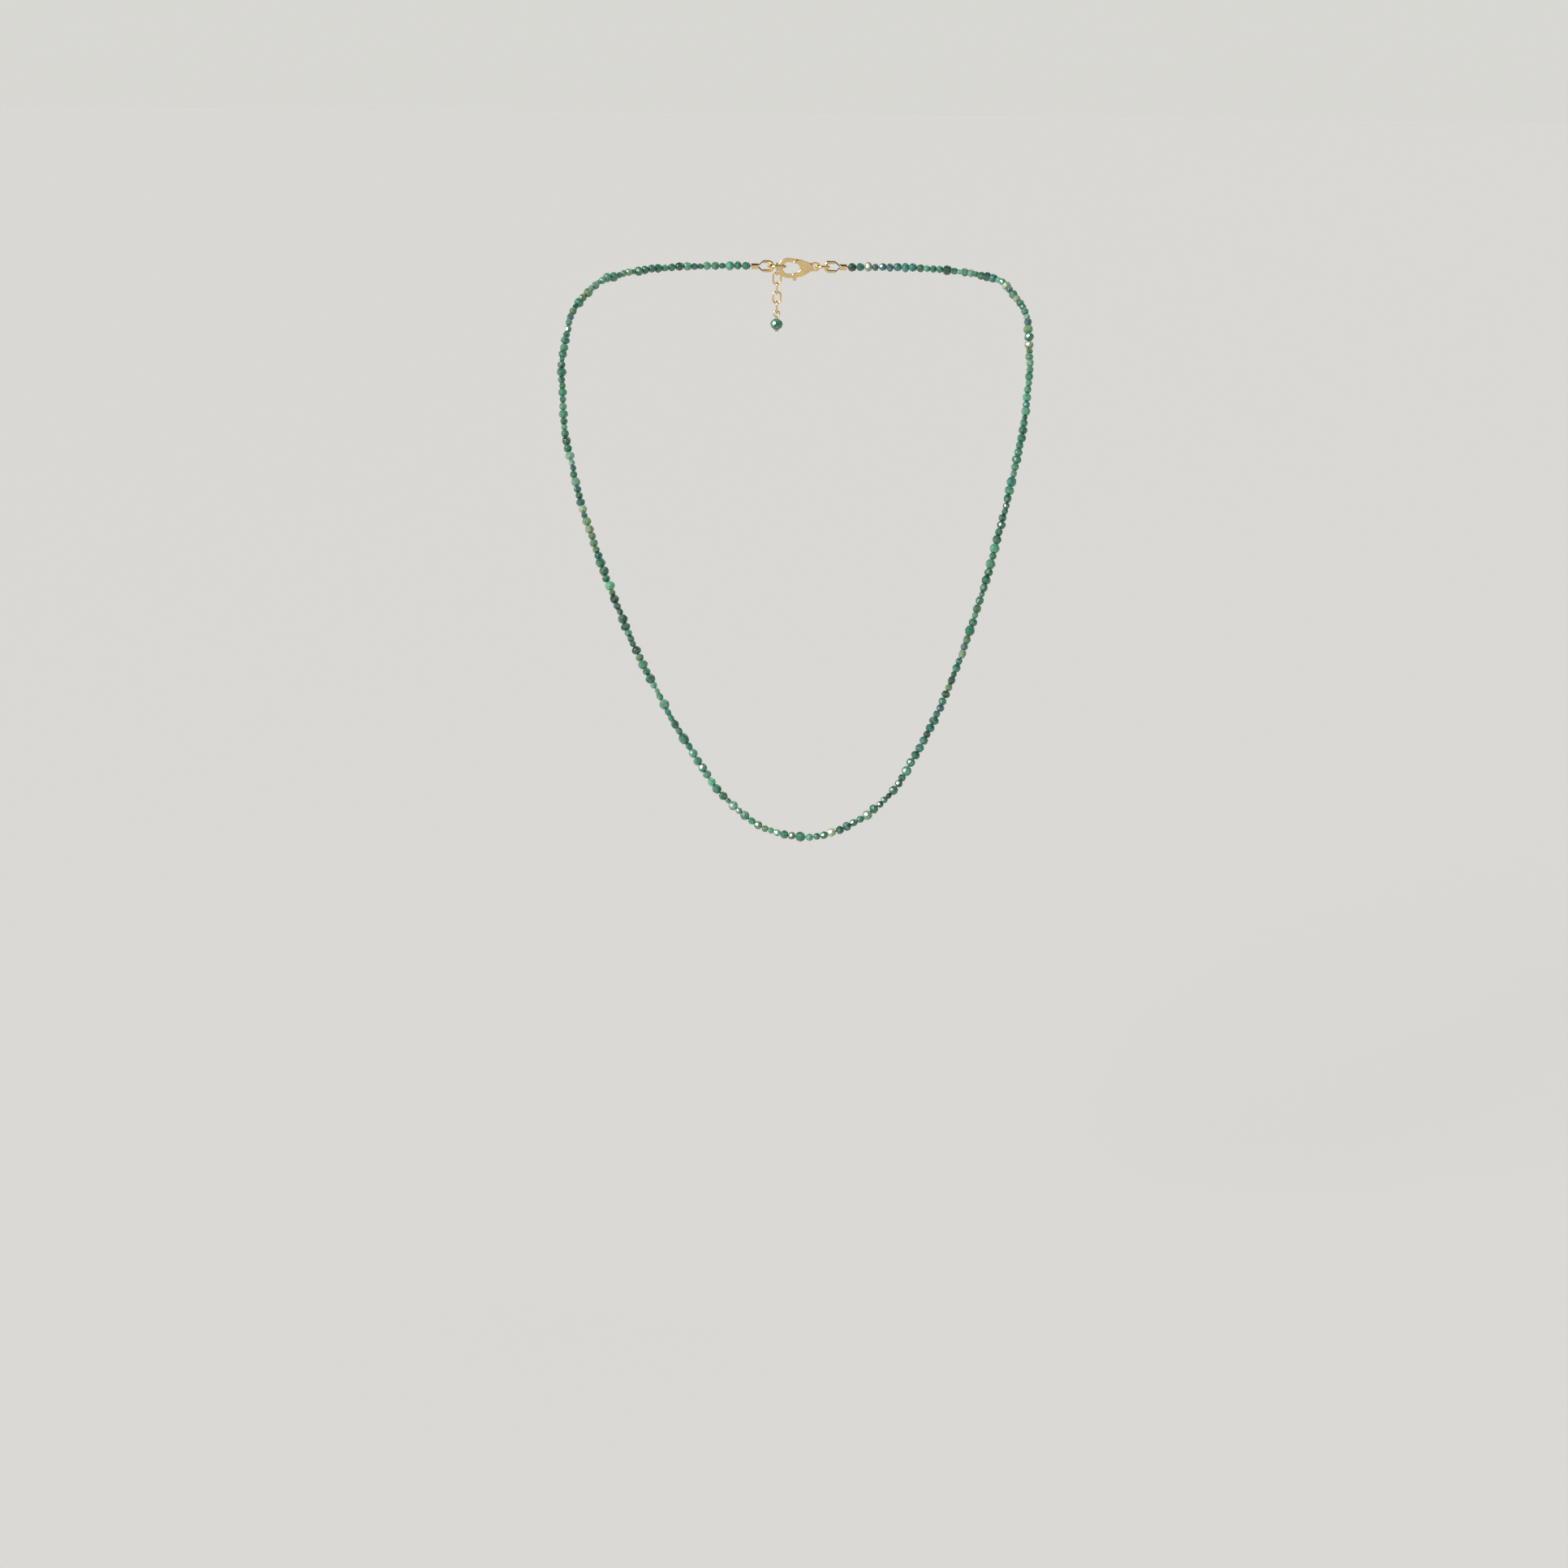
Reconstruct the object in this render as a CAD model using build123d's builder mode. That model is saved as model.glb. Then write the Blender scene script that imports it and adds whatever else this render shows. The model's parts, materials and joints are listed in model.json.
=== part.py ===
"""A strand necklace of small faceted green stones, in the shape that it has when it is worn.

The origin is the middle of the neck opening at the nape's height. +Z is up, the front of the strand
faces -Y, and +X is to the right of a person who looks at the front. All sizes are millimetres.

The closed loop is cut into spans. Each span is a group of beads on its own length of beading wire.
The middle of the nape holds the clasp. From there down, each pair of spans, one on the left and one
on the right, is one fold of the strand, and the fold turns about a line through both bead gaps.
"""
from build123d import *
import math
import os
import random

os.makedirs("parts", exist_ok=True)

# Strand
BEAD_DIAMETER = 2.0
BEAD_DIAMETER_SPREAD = 0.33
BEAD_DIAMETER_LEAST = 1.3
BEAD_DIAMETER_MOST = 2.5
BEAD_PITCH = 1.9
BEAD_ASPECT = 0.92
BEAD_SIDES = 8
BEAD_END_RADIUS = 0.5
BEAD_BELT = 0.32
BEAD_GAP = 0.1
BEAD_PLAY = 0.07
FOLD_GAP = 0.26
DRILL_RADIUS = 0.3
DRILL_OFFSET = 0.14
WIRE_RADIUS = 0.16
WIRE_TIP_GAP = 0.1
ARC_SHARE = 0.45

# Clasp line: the hardware lies along X at the back of the neck
CLASP_Y = 24.0
CLASP_Z = 1.0
STRAND_END = 12.7
CRIMP_INNER_END = 10.55
CRIMP_LENGTH = 1.8
CRIMP_RADIUS = 0.85
CRIMP_BORE = 0.46
GUARD_APEX = 6.9
GUARD_LEG_END = 9.4
GUARD_HALF_WIDTH = 1.15
GUARD_BEND = 0.95
GUARD_RADIUS = 0.42
GUARD_BORE = 0.27
TAIL_OFFSET = 0.24
TAIL_END = 12.0
LOOP_NECK = 10.5
LOOP_MOUTH = 9.5
LOOP_BEND = 0.6

CATCH_RING_X = -5.67
CATCH_RING_RADIUS = 2.1
CATCH_WIRE_RADIUS = 0.4
JUMP_RING_X = 6.07
JUMP_RING_RADIUS = 1.65
JUMP_WIRE_RADIUS = 0.35

# Lobster clasp, in its own plane: u runs from the hook to the eye, w is up, and the eye and the hook's
# seat are CLAW_LINE above the middle of the body
CLAW_TIP_X = -5.43
CLAW_LENGTH = 10.97
CLAW_LINE = 0.4
CLAW_HOOK_U = 2.6
CLAW_HOOK_RADIUS = 2.6
CLAW_BELLY_U = 5.6
CLAW_BELLY_RADIUS = 2.2
CLAW_MOUTH_U = 2.7
CLAW_MOUTH_RADIUS = 1.5
CLAW_MOUTH_BACK_U = 4.4
CLAW_MOUTH_BACK_RADIUS = 1.25
CLAW_HOOK_THICKNESS = 1.3
CLAW_BELLY_THICKNESS = 2.0
CLAW_EYE_THICKNESS = 0.8
CLAW_EYE_RADIUS = 1.2
CLAW_EYE_BORE = 0.65
CLAW_EYE_U = CLAW_LENGTH - CLAW_EYE_RADIUS
CLAW_BACK_U = 7.6
CLAW_BACK_RADIUS = 1.3
CLAW_NECK_RADIUS = 1.0
LEVER_PIVOT_U = 6.2
LEVER_PIVOT_W = -0.9
LEVER_THICKNESS = 0.95
LEVER_SLOT = 1.15
LEVER_SLOT_RADIUS = 1.5
LEVER_SLOT_BACK_U = 6.9
LEVER_HUB_RADIUS = 0.85
LEVER_REACH = 4.42
LEVER_TIP_GAP = 0.08
LEVER_TOP_W = -0.68
LEVER_MOUTH_END_U = 5.2
LEVER_BACK_U = 6.5
THUMB_U = 4.3
THUMB_ROOT_W = -2.0
THUMB_ROOT_RADIUS = 0.7
THUMB_TIP_W = -2.8
THUMB_TIP_RADIUS = 0.5
THUMB_THICKNESS = 1.3
RIVET_RADIUS = 0.35
RIVET_CLEARANCE = 0.07
RIVET_HEAD_RADIUS = 0.6
RIVET_HEAD_HEIGHT = 0.15
SPRING_RADIUS = 0.6
SPRING_WIRE_RADIUS = 0.07
SPRING_HEIGHT = 0.16
SPRING_RECESS_RADIUS = 0.74
SPRING_RECESS_DEPTH = 0.36

# Extender chain, hung from the back of the catch ring
LINK_COUNT = 5
LINK_RADIUS = 1.0
LINK_STRAIGHT = 1.0
LINK_WIRE_RADIUS = 0.25
LINK_SLACK = 0.05
DROP_EYE_RADIUS = 0.75
DROP_WIRE_RADIUS = 0.2
DROP_BEAD_LENGTH = 3.0
DROP_BEAD_DIAMETER = 3.2
DROP_BEAD_BELOW_EYE = 0.45
DROP_HEAD_RADIUS = 0.5
DROP_HEAD_HEIGHT = 0.3

# Corners of the strand's route, from the clasp down each side to the front
LEFT_ROUTE = [
    (-STRAND_END, CLASP_Y, CLASP_Z),
    (-27.5, 21.9, 1.0),
    (-41.0, 15.2, 0.2),
    (-50.6, 5.0, -2.0),
    (-57.0, -5.4, -9.0),
    (-59.1, -14.6, -21.5),
    (-57.8, -22.2, -37.0),
    (-53.3, -31.0, -54.0),
    (-46.5, -41.0, -71.0),
    (-38.5, -50.5, -88.0),
    (-29.0, -58.0, -104.0),
    (-18.5, -64.5, -119.0),
]
FRONT_ROUTE = [
    (-8.0, -68.2, -127.6),
    (4.5, -69.2, -129.8),
    (15.5, -67.2, -125.8),
]
RIGHT_ROUTE = [
    (STRAND_END, CLASP_Y, CLASP_Z),
    (27.5, 21.9, 1.2),
    (41.5, 15.6, 0.8),
    (51.6, 5.6, -1.0),
    (57.3, -5.4, -8.5),
    (57.7, -14.8, -21.5),
    (55.6, -22.8, -37.0),
    (51.3, -31.8, -54.0),
    (46.3, -41.2, -71.0),
    (40.3, -50.0, -88.0),
    (33.2, -56.8, -104.0),
    (24.0, -63.6, -119.0),
]
FIRST_FOLD = 3
FOLD_COUNT = 8


def radii_of(corners):
    """Return the radius of each inner corner's arc: as large as its two runs allow."""
    points = [Vector(*corner) for corner in corners]
    runs = [after - before for before, after in zip(points, points[1:])]
    radii = []
    for run_in, run_out in zip(runs, runs[1:]):
        half_turn = math.radians(run_in.get_angle(run_out)) / 2
        shorter = min(run_in.length, run_out.length)
        radii.append(ARC_SHARE * shorter / math.tan(half_turn))
    return radii


def middle(start, end):
    """Return the point halfway between two points."""
    return tuple((a + b) / 2 for a, b in zip(start, end))


def short_of(point, towards, distance):
    """Return the point moved by a distance along the line to another point."""
    start = Vector(*point)
    step = (Vector(*towards) - start).normalized()
    return tuple(start + step * distance)


def draw_sizes(length, first_gap, last_gap, dice):
    """Share a span between beads: return each bead's middle, length and diameter."""
    room = length - first_gap - last_gap
    count = round(room / BEAD_PITCH)
    diameters = []
    for _ in range(count):
        diameter = dice.gauss(BEAD_DIAMETER, BEAD_DIAMETER_SPREAD)
        diameters.append(min(max(diameter, BEAD_DIAMETER_LEAST), BEAD_DIAMETER_MOST))
    gaps = [BEAD_GAP * dice.choice((1, 1, 1, 1.5, 2.5)) for _ in range(count - 1)]
    lengths = [BEAD_ASPECT * diameter * dice.uniform(0.9, 1.1) for diameter in diameters]
    stretch = (room - sum(gaps)) / sum(lengths)
    beads = []
    reached = first_gap
    for diameter, bead_length, gap in zip(diameters, lengths, gaps + [0]):
        bead_length *= stretch
        beads.append((reached + bead_length / 2, bead_length, diameter))
        reached += bead_length + gap
    return beads


def draw_shift(most, dice):
    """Return a random sideways shift, no longer than a given distance."""
    distance = most * math.sqrt(dice.random())
    angle = dice.uniform(0, 2 * math.pi)
    return distance * math.cos(angle), distance * math.sin(angle)


def make_bead(plane, length, diameter, dice):
    """Cut one faceted bead, a belt between two flat-sided cones, and drill it off its middle.

    The hole is wider than the wire, so the bead also sits a little to one side of the wire's line.
    """
    seat = Plane(origin=plane.from_local_coords((*draw_shift(BEAD_PLAY, dice), 0)), z_dir=plane.z_dir)
    turn = dice.uniform(0, 360 / BEAD_SIDES)
    shift_x, shift_y = draw_shift(DRILL_OFFSET, dice)
    corners = []
    for side in range(BEAD_SIDES):
        angle = math.radians(turn + side * 360 / BEAD_SIDES)
        radius = diameter / 2 * dice.uniform(0.94, 1.0)
        corners.append((radius * math.cos(angle), radius * math.sin(angle)))
    belt = length * BEAD_BELT / 2
    end = BEAD_END_RADIUS / (diameter / 2)
    sections = [(-length / 2, end), (-belt, 1.0), (belt, 1.0), (length / 2, end)]
    with BuildPart() as bead:
        for height, size in sections:
            with BuildSketch(seat.offset(height)):
                with BuildLine():
                    Polyline(*[(x * size + shift_x, y * size + shift_y) for x, y in corners], close=True)
                make_face()
        loft(ruled=True)
        with Locations(seat):
            Cylinder(DRILL_RADIUS, length * 2, mode=Mode.SUBTRACT)
    return bead.part


def write_piece(piece, name):
    """Label a finished piece and write its STEP file."""
    piece.label = name
    export_step(piece, f"parts/{name}.step")


def write_beads(name, corners, first_gap, last_gap, dice):
    """String the beads of one span on its path."""
    with BuildLine() as path:
        FilletPolyline(*corners, radius=radii_of(corners))
    line = path.wire()
    beads = []
    for reached, length, diameter in draw_sizes(line.length, first_gap, last_gap, dice):
        spot = line.position_at(reached, position_mode=PositionMode.LENGTH)
        along = line.tangent_at(reached, position_mode=PositionMode.LENGTH)
        beads.append(make_bead(Plane(origin=spot, z_dir=along), length, diameter, dice))
    with BuildPart() as group:
        add(beads)
    write_piece(group.part, name)
    print(name, len(beads), "beads on", round(line.length, 2), "mm")


def write_wire(name, corners, radii):
    """Make one span's wire."""
    with BuildPart() as wire:
        with BuildLine() as path:
            FilletPolyline(*corners, radius=radii)
        with BuildSketch(path.line ^ 0):
            Circle(WIRE_RADIUS)
        sweep()
    write_piece(wire.part, name)


def write_span(side, corners, dice):
    """Make a span that ends at a fold at both ends."""
    write_beads(f"beads_{side}", corners, FOLD_GAP / 2, FOLD_GAP / 2, dice)
    start = short_of(corners[0], corners[1], WIRE_TIP_GAP)
    end = short_of(corners[-1], corners[-2], WIRE_TIP_GAP)
    write_wire(f"wire_{side}", [start, *corners[1:-1], end], radii_of(corners))


def write_nape_span(side, sign, corners, dice):
    """Make the span that ends at the clasp: its wire goes on through the crimp and loops back in the guard."""
    write_beads(f"beads_nape_{side}", corners, FOLD_GAP / 2, 0, dice)
    loop = [
        (TAIL_END, TAIL_OFFSET),
        (LOOP_NECK, TAIL_OFFSET),
        (LOOP_MOUTH, GUARD_HALF_WIDTH),
        (GUARD_APEX, GUARD_HALF_WIDTH),
        (GUARD_APEX, -GUARD_HALF_WIDTH),
        (LOOP_MOUTH, -GUARD_HALF_WIDTH),
        (LOOP_NECK, -TAIL_OFFSET),
        (TAIL_END, -TAIL_OFFSET),
    ]
    loop_corners = [(sign * x, CLASP_Y, CLASP_Z + z) for x, z in loop]
    loop_radii = [LOOP_BEND] * 4 + [GUARD_BEND] * 2 + [LOOP_BEND] * 2
    start = short_of(corners[0], corners[1], WIRE_TIP_GAP)
    route = [start, *corners[1:], *loop_corners]
    write_wire(f"wire_nape_{side}", route, radii_of(corners) + loop_radii)


def write_end_fittings(side, sign):
    """Make one strand end's crimp tube and wire guard."""
    crimp_middle = sign * (CRIMP_INNER_END + CRIMP_LENGTH / 2)
    with BuildPart() as crimp:
        with BuildSketch(Plane(origin=(crimp_middle, CLASP_Y, CLASP_Z), z_dir=(1, 0, 0))):
            Circle(CRIMP_RADIUS)
            Circle(CRIMP_BORE, mode=Mode.SUBTRACT)
        extrude(amount=CRIMP_LENGTH / 2, both=True)
        chamfer(crimp.edges().filter_by(GeomType.CIRCLE).sort_by(SortBy.RADIUS)[-2:], CRIMP_RADIUS / 8)
    write_piece(crimp.part, f"crimp_{side}")

    legs = [
        (sign * GUARD_LEG_END, CLASP_Y, CLASP_Z + GUARD_HALF_WIDTH),
        (sign * GUARD_APEX, CLASP_Y, CLASP_Z + GUARD_HALF_WIDTH),
        (sign * GUARD_APEX, CLASP_Y, CLASP_Z - GUARD_HALF_WIDTH),
        (sign * GUARD_LEG_END, CLASP_Y, CLASP_Z - GUARD_HALF_WIDTH),
    ]
    with BuildPart() as guard:
        with BuildLine() as path:
            FilletPolyline(*legs, radius=GUARD_BEND)
        with BuildSketch(path.line ^ 0):
            Circle(GUARD_RADIUS)
            Circle(GUARD_BORE, mode=Mode.SUBTRACT)
        sweep()
    write_piece(guard.part, f"wire_guard_{side}")


def write_ring(name, x, ring_radius, wire_radius):
    """Make one round ring that lies level in the clasp line."""
    with BuildPart() as ring:
        with Locations((x, CLASP_Y, CLASP_Z)):
            Torus(ring_radius, wire_radius)
    write_piece(ring.part, name)


def add_hull(circles, mode=Mode.ADD):
    """Add or cut the shape that a band around some circles would take, each circle as (u, w, radius)."""
    with BuildSketch(mode=Mode.PRIVATE) as hull:
        for u, w, radius in circles:
            with Locations((u, w)):
                Circle(radius)
        make_hull()
    add(hull.sketch, mode=mode)


def add_box(low, high, mode):
    """Add, cut or keep a rectangle between two corners, each as (u, w)."""
    with Locations(((low[0] + high[0]) / 2, (low[1] + high[1]) / 2)):
        Rectangle(high[0] - low[0], high[1] - low[1], mode=mode)


CLAW_PLANE = Plane(
    origin=(CLAW_TIP_X, CLASP_Y, CLASP_Z - CLAW_LINE),
    x_dir=(1, 0, 0),
    z_dir=(0, -1, 0),
)
CLAW_OUTLINE = [(CLAW_HOOK_U, 0, CLAW_HOOK_RADIUS), (CLAW_BELLY_U, 0, CLAW_BELLY_RADIUS)]
CLAW_MOUTH = [(CLAW_MOUTH_U, 0, CLAW_MOUTH_RADIUS), (CLAW_MOUTH_BACK_U, 0, CLAW_MOUTH_BACK_RADIUS)]
CLAW_CHEEKS = [(CLAW_BELLY_U, 0, CLAW_BELLY_RADIUS), (CLAW_BACK_U, CLAW_LINE / 2, CLAW_BACK_RADIUS)]
CLAW_TAIL = [(CLAW_BACK_U, CLAW_LINE / 2, CLAW_NECK_RADIUS), (CLAW_EYE_U, CLAW_LINE, CLAW_EYE_RADIUS)]
BELOW = -2 * CLAW_HOOK_RADIUS


def write_claw():
    """Make the clasp's body: a hook with an open side, two cheeks with a slot, and the eye."""
    with BuildPart() as claw:
        with BuildSketch(CLAW_PLANE):
            add_hull(CLAW_OUTLINE)
            add_hull(CLAW_MOUTH, Mode.SUBTRACT)
        extrude(amount=CLAW_HOOK_THICKNESS / 2, both=True)
        with BuildSketch(CLAW_PLANE):
            add_hull(CLAW_CHEEKS)
            add_hull(CLAW_MOUTH, Mode.SUBTRACT)
        extrude(amount=CLAW_BELLY_THICKNESS / 2, both=True)
        with BuildSketch(CLAW_PLANE):
            add_hull(CLAW_TAIL)
        extrude(amount=CLAW_EYE_THICKNESS / 2, both=True)
        with BuildSketch(CLAW_PLANE):
            with Locations((CLAW_EYE_U, CLAW_LINE)):
                Circle(CLAW_EYE_BORE)
            with Locations((LEVER_PIVOT_U, LEVER_PIVOT_W)):
                Circle(RIVET_RADIUS)
        extrude(amount=CLAW_BELLY_THICKNESS, both=True, mode=Mode.SUBTRACT)
        with BuildSketch(CLAW_PLANE):
            with Locations((LEVER_PIVOT_U, LEVER_PIVOT_W)):
                Circle(LEVER_REACH + LEVER_TIP_GAP)
            open_top = LEVER_TOP_W + LEVER_TIP_GAP
            add_box((0, BELOW), (LEVER_MOUTH_END_U, open_top), Mode.INTERSECT)
        extrude(amount=CLAW_BELLY_THICKNESS, both=True, mode=Mode.SUBTRACT)
        with BuildSketch(CLAW_PLANE):
            with Locations((LEVER_PIVOT_U, LEVER_PIVOT_W)):
                Circle(LEVER_SLOT_RADIUS)
            add_box((LEVER_MOUTH_END_U, BELOW), (LEVER_SLOT_BACK_U, LEVER_PIVOT_W), Mode.ADD)
        extrude(amount=LEVER_SLOT / 2, both=True, mode=Mode.SUBTRACT)
    write_piece(claw.part, "clasp_body")


def write_lever():
    """Make the clasp's lever: the side that opens, its hub on the rivet, and the thumb tab."""
    hub_top = CLAW_PLANE.offset(LEVER_THICKNESS / 2)
    with BuildPart() as lever:
        with BuildSketch(CLAW_PLANE):
            add_hull(CLAW_OUTLINE)
            add_hull(CLAW_MOUTH, Mode.SUBTRACT)
            with Locations((LEVER_PIVOT_U, LEVER_PIVOT_W)):
                Circle(LEVER_REACH, mode=Mode.INTERSECT)
            add_box((0, BELOW), (LEVER_BACK_U, LEVER_TOP_W), Mode.INTERSECT)
            with Locations((LEVER_PIVOT_U, LEVER_PIVOT_W)):
                Circle(LEVER_HUB_RADIUS)
        extrude(amount=LEVER_THICKNESS / 2, both=True)
        with BuildSketch(CLAW_PLANE):
            add_hull([(THUMB_U, THUMB_ROOT_W, THUMB_ROOT_RADIUS), (THUMB_U, THUMB_TIP_W, THUMB_TIP_RADIUS)])
            add_hull(CLAW_MOUTH, Mode.SUBTRACT)
        extrude(amount=THUMB_THICKNESS / 2, both=True)
        with BuildSketch(hub_top):
            with Locations((LEVER_PIVOT_U, LEVER_PIVOT_W)):
                Circle(SPRING_RECESS_RADIUS)
        extrude(amount=-SPRING_RECESS_DEPTH, mode=Mode.SUBTRACT)
        with BuildSketch(CLAW_PLANE):
            with Locations((LEVER_PIVOT_U, LEVER_PIVOT_W)):
                Circle(RIVET_RADIUS + RIVET_CLEARANCE)
        extrude(amount=LEVER_THICKNESS, both=True, mode=Mode.SUBTRACT)
    write_piece(lever.part, "clasp_lever")


def write_rivet_and_spring():
    """Make the lever's rivet, with a flat head on each cheek, and the spring coiled around it."""
    with BuildPart() as rivet:
        with BuildSketch(CLAW_PLANE):
            with Locations((LEVER_PIVOT_U, LEVER_PIVOT_W)):
                Circle(RIVET_RADIUS)
        extrude(amount=CLAW_BELLY_THICKNESS / 2, both=True)
        for outward in (1, -1):
            with BuildSketch(CLAW_PLANE.offset(outward * CLAW_BELLY_THICKNESS / 2)):
                with Locations((LEVER_PIVOT_U, LEVER_PIVOT_W)):
                    Circle(RIVET_HEAD_RADIUS)
            extrude(amount=outward * RIVET_HEAD_HEIGHT)
    write_piece(rivet.part, "clasp_rivet")

    coil_start = LEVER_THICKNESS / 2 - SPRING_RECESS_DEPTH + 1.5 * SPRING_WIRE_RADIUS
    coil_spot = CLAW_PLANE.from_local_coords((LEVER_PIVOT_U, LEVER_PIVOT_W, coil_start))
    with BuildPart() as spring:
        with BuildLine() as coil:
            Helix(
                pitch=SPRING_HEIGHT,
                height=SPRING_HEIGHT,
                radius=SPRING_RADIUS,
                center=coil_spot,
                direction=CLAW_PLANE.z_dir,
            )
        with BuildSketch(coil.line ^ 0):
            Circle(SPRING_WIRE_RADIUS)
        sweep()
    write_piece(spring.part, "clasp_spring")


def write_chain():
    """Hang the extender's oval links from the back of the catch ring, and the drop from the last."""
    chain_y = CLASP_Y + CATCH_RING_RADIUS
    half_straight = LINK_STRAIGHT / 2
    top = CLASP_Z + CATCH_WIRE_RADIUS + LINK_SLACK + LINK_WIRE_RADIUS
    for number in range(1, LINK_COUNT + 1):
        across = (0, 1, 0) if number % 2 else (1, 0, 0)
        middle_z = top - LINK_RADIUS - half_straight
        facing = Vector(*across).cross(Vector(0, 0, 1))
        link_plane = Plane(origin=(CATCH_RING_X, chain_y, middle_z), x_dir=across, z_dir=facing)
        with BuildPart() as link:
            with BuildLine(link_plane) as path:
                side = Line((LINK_RADIUS, -half_straight), (LINK_RADIUS, half_straight))
                arch = TangentArc(side @ 1, (-LINK_RADIUS, half_straight), tangent=side % 1)
                back = Line(arch @ 1, (-LINK_RADIUS, -half_straight))
                TangentArc(back @ 1, side @ 0, tangent=back % 1)
            with BuildSketch(path.line ^ 0):
                Circle(LINK_WIRE_RADIUS)
            sweep()
        write_piece(link.part, f"chain_link_{number}")
        bottom = top - 2 * LINK_RADIUS - LINK_STRAIGHT
        print("link", number, "hangs at z", round(top, 3), "and its lower wire is at z", round(bottom, 3))
        top = bottom + 2 * LINK_WIRE_RADIUS + LINK_SLACK
    write_drop(chain_y, bottom + LINK_WIRE_RADIUS + LINK_SLACK + DROP_WIRE_RADIUS)


def write_drop(chain_y, eye_top):
    """Make the head pin, with its eye in the last link, and the bead that it holds."""
    eye_z = eye_top - DROP_EYE_RADIUS
    shaft_top = eye_z - DROP_EYE_RADIUS
    bead_z = shaft_top - DROP_BEAD_BELOW_EYE - DROP_BEAD_LENGTH / 2
    shaft_bottom = bead_z - DROP_BEAD_LENGTH / 2 - BEAD_GAP
    with BuildPart() as pin:
        with Locations(Plane(origin=(CATCH_RING_X, chain_y, eye_z), z_dir=(0, 1, 0))):
            Torus(DROP_EYE_RADIUS, DROP_WIRE_RADIUS)
        with BuildSketch(Plane.XY.offset(shaft_bottom)):
            with Locations((CATCH_RING_X, chain_y)):
                Circle(DROP_WIRE_RADIUS)
        extrude(amount=shaft_top - shaft_bottom)
        with BuildSketch(Plane.XY.offset(shaft_bottom)):
            with Locations((CATCH_RING_X, chain_y)):
                Circle(DROP_HEAD_RADIUS)
        extrude(amount=-DROP_HEAD_HEIGHT)
    write_piece(pin.part, "drop_pin")
    spot = Plane(origin=(CATCH_RING_X, chain_y, bead_z), z_dir=(0, 0, 1))
    bead = make_bead(spot, DROP_BEAD_LENGTH, DROP_BEAD_DIAMETER, random.Random(LINK_COUNT))
    write_piece(bead, "drop_bead")
    print("drop bead at z", round(bead_z, 3))


def write_strand():
    """Cut the strand at the folds and make every span."""
    dice = random.Random(20)
    folds = range(FIRST_FOLD, FIRST_FOLD + FOLD_COUNT)
    fold_points = {}
    for side, sign, route in (("left", -1, LEFT_ROUTE), ("right", 1, RIGHT_ROUTE)):
        points = [middle(route[index], route[index + 1]) for index in folds]
        fold_points[side] = points
        nape_corners = [points[0], *reversed(route[: FIRST_FOLD + 1])]
        write_nape_span(side, sign, nape_corners, dice)
        for number, index in enumerate(folds[:-1]):
            corners = [points[number], route[index + 1], points[number + 1]]
            write_span(f"{side}_{number + 1}", corners, dice)
    last = folds[-1] + 1
    front = [fold_points["left"][-1], LEFT_ROUTE[last], *FRONT_ROUTE]
    front += [RIGHT_ROUTE[last], fold_points["right"][-1]]
    write_span("front", front, dice)
    for number, (left, right) in enumerate(zip(fold_points["left"], fold_points["right"]), 1):
        print("fold", number, "turns about the line", left, "to", right)


write_strand()
for end_side, end_sign in (("left", -1), ("right", 1)):
    write_end_fittings(end_side, end_sign)
write_ring("catch_ring", CATCH_RING_X, CATCH_RING_RADIUS, CATCH_WIRE_RADIUS)
write_ring("jump_ring", JUMP_RING_X, JUMP_RING_RADIUS, JUMP_WIRE_RADIUS)
write_claw()
write_lever()
write_rivet_and_spring()
write_chain()
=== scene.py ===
"""The looks of a strand necklace of small faceted green stones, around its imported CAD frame.

Every object is in metres and in the frame's own axes. Small shapes are worked out in millimetres
and scaled once, when their mesh is made. The random draws are seeded, so each run is the same.
"""
import json
import math
import random

import bmesh
import bpy
from mathutils import Matrix, Quaternion, Vector

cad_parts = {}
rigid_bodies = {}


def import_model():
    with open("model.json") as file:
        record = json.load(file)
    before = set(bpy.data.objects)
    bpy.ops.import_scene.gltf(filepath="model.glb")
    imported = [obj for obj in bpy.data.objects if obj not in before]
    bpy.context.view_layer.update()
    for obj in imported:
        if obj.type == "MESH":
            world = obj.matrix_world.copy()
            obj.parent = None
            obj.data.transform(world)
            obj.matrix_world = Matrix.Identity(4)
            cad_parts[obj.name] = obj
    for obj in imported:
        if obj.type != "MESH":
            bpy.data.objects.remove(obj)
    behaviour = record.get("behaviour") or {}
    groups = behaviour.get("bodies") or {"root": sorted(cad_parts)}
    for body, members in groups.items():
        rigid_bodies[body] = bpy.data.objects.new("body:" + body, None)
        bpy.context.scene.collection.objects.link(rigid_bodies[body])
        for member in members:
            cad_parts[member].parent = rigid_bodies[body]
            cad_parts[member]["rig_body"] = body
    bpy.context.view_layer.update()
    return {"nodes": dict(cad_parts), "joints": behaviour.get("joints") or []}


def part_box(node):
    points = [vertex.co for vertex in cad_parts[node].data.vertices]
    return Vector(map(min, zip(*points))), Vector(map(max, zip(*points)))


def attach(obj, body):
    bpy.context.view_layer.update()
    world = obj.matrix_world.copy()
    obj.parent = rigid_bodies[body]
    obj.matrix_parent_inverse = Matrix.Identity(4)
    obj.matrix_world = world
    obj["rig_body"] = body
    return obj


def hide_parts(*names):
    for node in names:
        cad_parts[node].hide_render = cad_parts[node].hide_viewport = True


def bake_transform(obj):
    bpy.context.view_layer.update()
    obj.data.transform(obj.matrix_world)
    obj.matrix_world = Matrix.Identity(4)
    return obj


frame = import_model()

MM = 0.001
NODES = frame["nodes"]

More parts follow.
